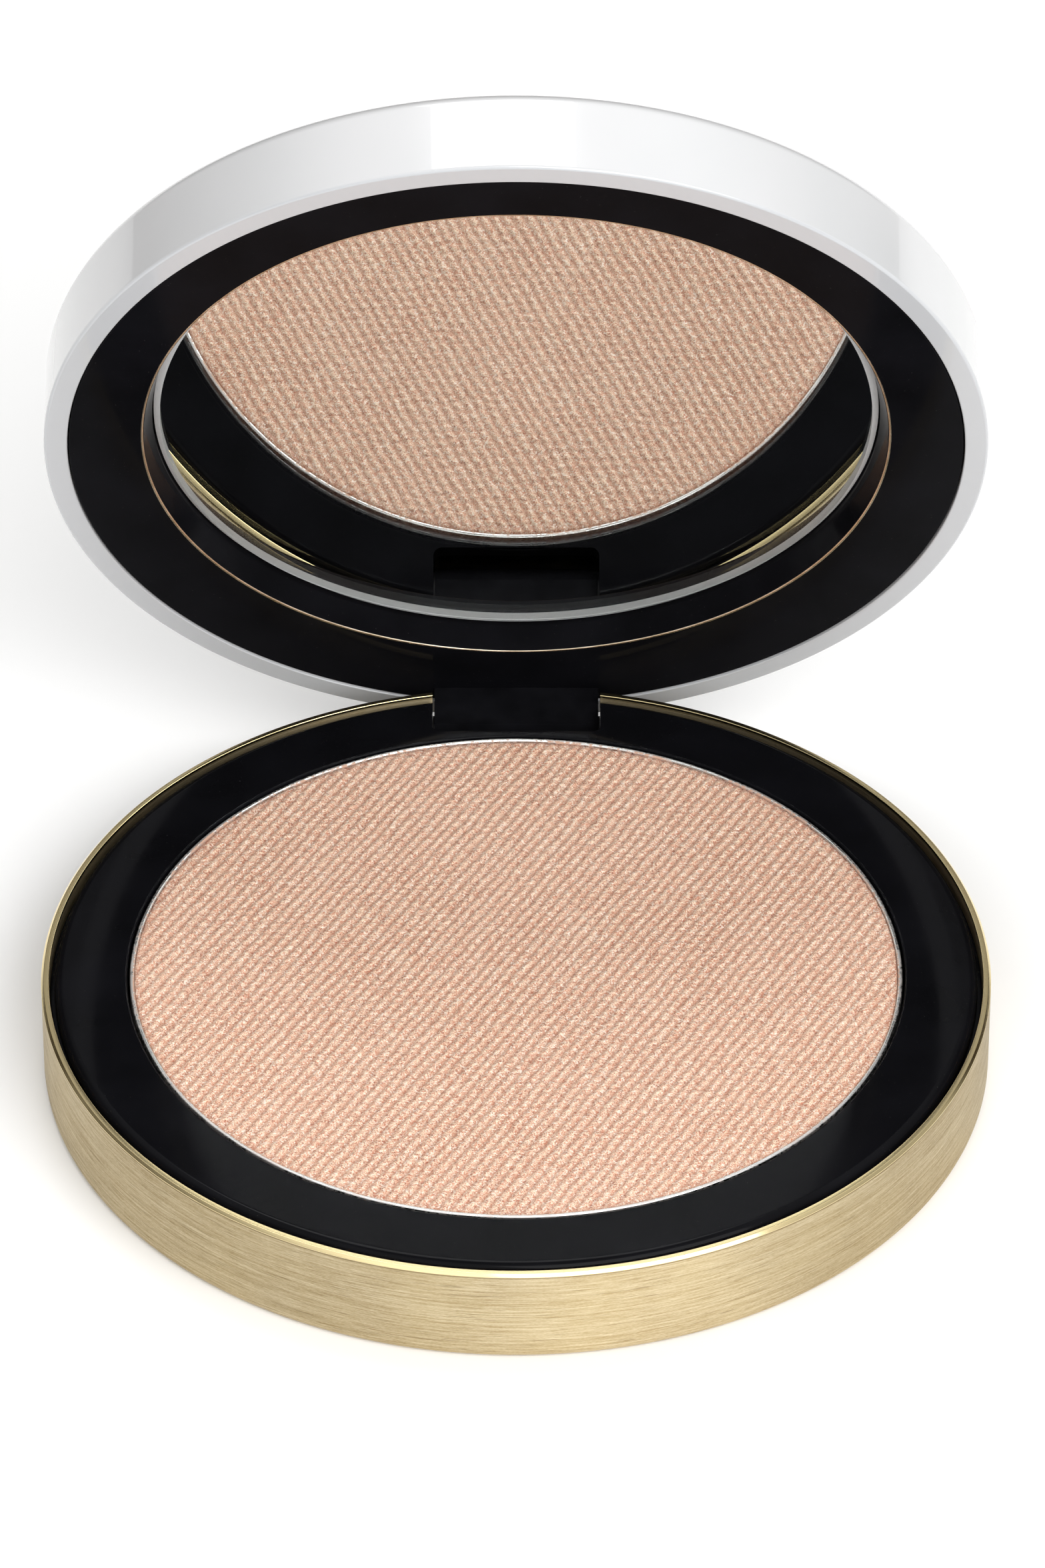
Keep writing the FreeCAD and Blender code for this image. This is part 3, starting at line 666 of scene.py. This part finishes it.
def mirror_frame():
    """The black inner lid: face round the mirror, dish behind it, skirt inside the cap."""
    floor_low = TAPE_HIGH.z
    floor_high = floor_low + 0.9 * MM
    seat = GLASS_HIGH.x + FIT
    face = FRAME_LOW.z
    back = face + FRAME_PLATE
    skirt = FRAME_HIGH.x - MM
    dish_outside = MOUTH_RADIUS + 0.85 * MM
    shape = lathe("mirror_frame", rounded([
        (0, face, 0), (FRAME_HIGH.x, face, 0.09 * MM), (FRAME_HIGH.x, FRAME_HIGH.z, 0),
        (skirt, FRAME_HIGH.z, 0), (skirt, back, 0.1 * MM), (0, back, 0),
    ]))
    dish = lathe("dish", rounded([
        (0, back - 0.3 * MM, 0), (dish_outside, back - 0.3 * MM, 0),
        (dish_outside, floor_high, 0.2 * MM), (0, floor_high, 0),
    ]), MIRROR_ALONG)
    mouth = lathe("mouth", rounded([
        (0, face - 0.5 * MM, 0), (MOUTH_RADIUS + 0.6 * MM, face - 0.5 * MM, 0),
        (MOUTH_RADIUS + 0.6 * MM, face - 0.001 * MM, 0), (MOUTH_RADIUS, face, 0.18 * MM),
        (seat, GLASS_LOW.z, 0.03 * MM), (seat, floor_low, 0.1 * MM), (0, floor_low, 0),
    ]), MIRROR_ALONG)
    slot = slab("slot", bay_outline(LUG_HALF, LUG_SLOT, 0.05 * MM), face - MM, back + 0.05 * MM)
    tools = [("UNION", dish), ("DIFFERENCE", mouth), ("DIFFERENCE", slot)]
    tools += [("DIFFERENCE", slab("hole", circle(*at, SCREW_HOLE), back - 1.2 * MM, back + OVERSHOOT))
              for at in SCREWS]
    tools += [("DIFFERENCE", slab("seat", circle(*at, MAGNET_SEAT), face + 0.6 * MM, back + OVERSHOOT))
              for at in MAGNETS]
    place_piece("mirror_frame", combine(shape, tools), "lid", "lid_frame", "gloss_black",
                frame_black().material)


def mirror():
    """Glass with a frosted bevel and edge, and the silvering a hair behind it; every edge is crisp."""
    bevel = 0.5 * MM
    gap = 0.006 * MM
    radius = GLASS_HIGH.x
    glass = lathe("bevelled_glass", rounded([
        (0, GLASS_LOW.z, 0), (radius - bevel, GLASS_LOW.z, 0), (radius, GLASS_LOW.z + bevel, 0),
        (radius, GLASS_HIGH.z, 0), (0, GLASS_HIGH.z, 0),
    ]), MIRROR_ALONG)
    piece = place_piece("bevelled_glass", glass, "lid", "mirror_glass", "mirror_glass",
                        clear_glass(), ground_glass())
    for face in piece.data.polygons:
        at = SHUT @ face.center
        face.material_index = int(math.hypot(at.x, at.y - MIRROR_ALONG) > radius - bevel)
    backing = lathe("mirror_backing", rounded([
        (0, GLASS_HIGH.z + gap, 0), (radius - 0.05 * MM, GLASS_HIGH.z + gap, 0),
        (radius - 0.05 * MM, TAPE_LOW.z, 0), (0, TAPE_LOW.z, 0),
    ]), MIRROR_ALONG)
    place_piece("mirror_backing", backing, "lid", "mirror_silvering", "silvering", silvering())


base_cup()
black_tray()
powder_pan()
lid_cap()
mirror_frame()
mirror()

# --- pressed powder --------------------------------------------------------------------------------

RIB_PITCH = 0.825 * MM
RIB_HEIGHT = 0.16 * MM
RIB_TURN = math.radians(60.4)           # anticlockwise from +X, seen from above
BEAD_LENGTH = 0.86 * MM
STEP_ALONG = 0.12 * MM
STEP_ACROSS = RIB_PITCH / 9
RIM_GAP = 0.03 * MM                     # between the cake and the pan's wall
EDGE_DROP = 0.03 * MM
EDGE_WIDTH = 0.9 * MM                   # the worn band along the rim
CREST_POWER = 0.75                      # under 1 makes the ribs' crests fuller
BEAD_DEPTH = 0.46                       # of a rib's height, lost where it is pinched between beads
BEAD_SLANT = 0.38
CRUMB = 0.020 * MM
LUMP = 0.016 * MM
LATTICE = 512


def smooth_noise(x, y, size, seed):
    """Seeded noise from -1 to 1 on a square lattice of that size, smoothly joined."""
    lattice = np.random.default_rng(seed).uniform(-1.0, 1.0, (LATTICE, LATTICE))
    x = x / size + LATTICE / 2
    y = y / size + LATTICE / 2
    column = np.floor(x).astype(int)
    row = np.floor(y).astype(int)
    fx = x - column
    fy = y - row
    fx = fx * fx * (3.0 - 2.0 * fx)
    fy = fy * fy * (3.0 - 2.0 * fy)

    def at(c, r):
        return lattice[(row + r) % LATTICE, (column + c) % LATTICE]

    low = at(0, 0) * (1.0 - fx) + at(1, 0) * fx
    high = at(0, 1) * (1.0 - fx) + at(1, 1) * fx
    return low * (1.0 - fy) + high * fy


def powder_height(along, across, radius):
    """Height of the pressed face: cord-like ribs, beaded by a twist, breaking up at the rim."""
    wander = 0.09 * MM * smooth_noise(along, across, 1.6 * MM, 11)
    lane = (across + wander) / RIB_PITCH
    side = 2.0 * (lane - np.floor(lane)) - 1.0          # -1 and 1 in the grooves, 0 on the crest
    crest = 0.5 + 0.5 * np.cos(math.pi * side)
    crest = crest ** CREST_POWER
    rib = np.floor(lane)
    shift = 0.5 * rib + 0.35 * smooth_noise(along, rib * MM, 2.0 * MM, 23)
    bead = 0.5 + 0.5 * np.cos(2.0 * math.pi * (along / BEAD_LENGTH + BEAD_SLANT * side + shift))
    plump = 1.0 - BEAD_DEPTH * bead * (0.7 + 0.3 * smooth_noise(along, across, 0.9 * MM, 31))
    crumbs = CRUMB * smooth_noise(along, across, 0.17 * MM, 41)
    crumbs += LUMP * smooth_noise(along, across, 0.40 * MM, 43)
    edge = np.clip((CAKE_RADIUS - radius) / EDGE_WIDTH, 0.0, 1.0)
    ribs = RIB_HEIGHT * crest * plump * (0.45 + 0.55 * edge)
    sunk = EDGE_DROP * (1.0 - edge) * (0.6 + 0.4 * smooth_noise(along, across, 0.6 * MM, 53))
    return np.minimum(CAKE_TOP - RIB_HEIGHT + ribs + crumbs - sunk, CAKE_TOP)


def pressed_powder():
    """The cake as one closed mesh: a grid along the ribs, cut to a disc, with a side and a foot."""
    reach = CAKE_RADIUS - RIM_GAP
    columns = int(2.0 * reach / STEP_ALONG) + 2
    rows = int(2.0 * reach / STEP_ACROSS) + 2
    along, across = np.meshgrid(
        (np.arange(columns) - columns / 2) * STEP_ALONG,
        (np.arange(rows) - rows / 2) * STEP_ACROSS,
    )
    inside = np.hypot(along, across) < reach - 0.5 * STEP_ACROSS
    cell = inside[:-1, :-1] & inside[1:, :-1] & inside[:-1, 1:] & inside[1:, 1:]
    grid = np.arange(rows * columns).reshape(rows, columns)
    quads = np.stack([grid[:-1, :-1], grid[:-1, 1:], grid[1:, 1:], grid[1:, :-1]], axis=-1)[cell]

    # the outline: each quad side that no other quad shares, followed round once
    sides = np.concatenate([quads[:, [i, (i + 1) % 4]] for i in range(4)])
    pairs = {(int(a), int(b)) for a, b in sides}
    after = {a: b for a, b in pairs if (b, a) not in pairs}
    start = next(iter(after))
    outline = [start]
    while after[outline[-1]] != start:
        outline.append(after[outline[-1]])

    used, renumbered = np.unique(quads, return_inverse=True)
    quads = renumbered.reshape(quads.shape)
    place = {int(old): new for new, old in enumerate(used)}
    outline = [place[old] for old in outline]
    along = along.ravel()[used]
    across = across.ravel()[used]
    outward = reach / np.hypot(along[outline], across[outline])
    along[outline] *= outward
    across[outline] *= outward
    top = powder_height(along, across, np.hypot(along, across))
    turn = Matrix.Rotation(RIB_TURN, 2)
    x = turn[0][0] * along + turn[0][1] * across
    y = turn[1][0] * along + turn[1][1] * across

    points = np.stack([x, y, top], axis=-1)
    foot = points[outline].copy()
    foot[:, 2] = CAKE_LOW.z
    count = len(outline)
    low = len(points) + np.arange(count)
    rim = np.array(outline)
    walls = np.stack([np.roll(rim, -1), rim, low, np.roll(low, -1)], axis=-1)
    faces = quads.tolist() + walls.tolist() + [low[::-1].tolist()]
    mesh = bpy.data.meshes.new("pressed_powder")
    mesh.from_pydata(np.vstack([points, foot]).tolist(), [], faces)
    mesh.polygons.foreach_set("use_smooth", [True] * len(quads) + [False] * (count + 1))
    mesh.validate()
    piece = bpy.data.objects.new("pressed_powder", mesh)
    bpy.context.scene.collection.objects.link(piece)
    mesh.materials.append(shimmer_powder())
    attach(piece, "base")
    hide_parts("powder_cake")


pressed_powder()

# --- studio ----------------------------------------------------------------------------------------

VIEW_TARGET = Vector((0.5, 8.0, 20.1)) * MM
VIEW_TILT = math.radians(37.05)         # how far the view looks down
VIEW_DISTANCE = 0.678
VIEW_LENS = 200.0
SKY = 0.85
FRONT_SKY = 1.8                         # times the rest
WHITE = (1.0, 1.0, 1.0, 1.0)
DARK_SKY = (0.035, 0.025, 0.015, 1.0)
FLOOR_HALF = 1.6
LIGHT_TARGET = Vector((0.0, 0.0, 0.02))


def look_at(thing, place, target):
    """Puts a camera or light in the scene at a place, aimed at a target."""
    thing.location = place
    thing.rotation_euler = (target - place).to_track_quat("-Z", "Y").to_euler()
    bpy.context.scene.collection.objects.link(thing)


def camera():
    lens = bpy.data.cameras.new("camera")
    lens.lens = VIEW_LENS
    lens.sensor_width = 36.0
    lens.clip_start = 0.01
    body = bpy.data.objects.new("camera", lens)
    back = Vector((0.0, -math.cos(VIEW_TILT), math.sin(VIEW_TILT)))
    look_at(body, VIEW_TARGET + back * VIEW_DISTANCE, VIEW_TARGET)
    bpy.context.scene.camera = body


def softbox(name, place, size, power):
    light = bpy.data.lights.new(name, "AREA")
    light.shape = "RECTANGLE"
    light.size, light.size_y = size
    light.energy = power
    look_at(bpy.data.objects.new(name, light), Vector(place), LIGHT_TARGET)


def floor():
    """The pale sheet that the case stands on."""
    corners = [(x * FLOOR_HALF, y * FLOOR_HALF, 0) for x, y in ((-1, -1), (1, -1), (1, 1), (-1, 1))]
    mesh = bpy.data.meshes.new("floor")
    mesh.from_pydata(corners, [], [(0, 1, 2, 3)])
    paint = Paint("floor")
    cloud = paint.noise(paint.place(), 0.05, detail=3.0)
    paint.set(Base_Color=paint.mix(cloud, colour(248, 248, 247), colour(251, 251, 251)), Roughness=0.9)
    mesh.materials.append(paint.material)
    sheet = bpy.data.objects.new("floor", mesh)
    bpy.context.scene.collection.objects.link(sheet)


class Sky(Paint):
    """The same little graphs for the world's light."""

    def __init__(self, name):
        self.world = bpy.data.worlds.new(name)
        self.world.use_nodes = True
        self.tree = self.world.node_tree
        self.shader = self.tree.nodes["Background"]


def surroundings():
    """A white studio, bright in front, darker low down behind the case and towards both sides."""
    sky = Sky("studio")
    x, y, z = sky.split(sky.add("ShaderNodeTexCoord").outputs["Generated"])
    low = sky.span(z, 0.45, 0.85, 1.0, 0.0, smooth=True)
    left = sky.span(x, -0.80, -0.25, 0.85, 0.0, smooth=True)
    right = sky.span(x, 0.35, 0.90, 0.0, 0.55, smooth=True)
    behind = sky.span(y, 0.10, 0.55, smooth=True)
    overhead = sky.span(z, 0.90, 0.97, 0.0, 0.75, smooth=True)
    dark = sky.math("MAXIMUM", sky.math("MAXIMUM", left, right), behind)
    dark = sky.math("MAXIMUM", sky.times(dark, low), overhead)
    front = sky.span(y, -0.80, -0.10, 1.0, 0.0, smooth=True)
    light = sky.mix(front, WHITE, (FRONT_SKY, FRONT_SKY, FRONT_SKY, 1.0))
    sky.set(Color=sky.mix(dark, light, DARK_SKY), Strength=SKY)
    bpy.context.scene.world = sky.world
    bpy.context.scene.view_settings.view_transform = "Standard"


camera()
floor()
surroundings()
softbox("key", (0.38, -0.66, 0.60), (0.8, 0.8), 6.6)
softbox("back", (-0.05, 0.42, 1.0), (0.5, 0.5), 2.8)
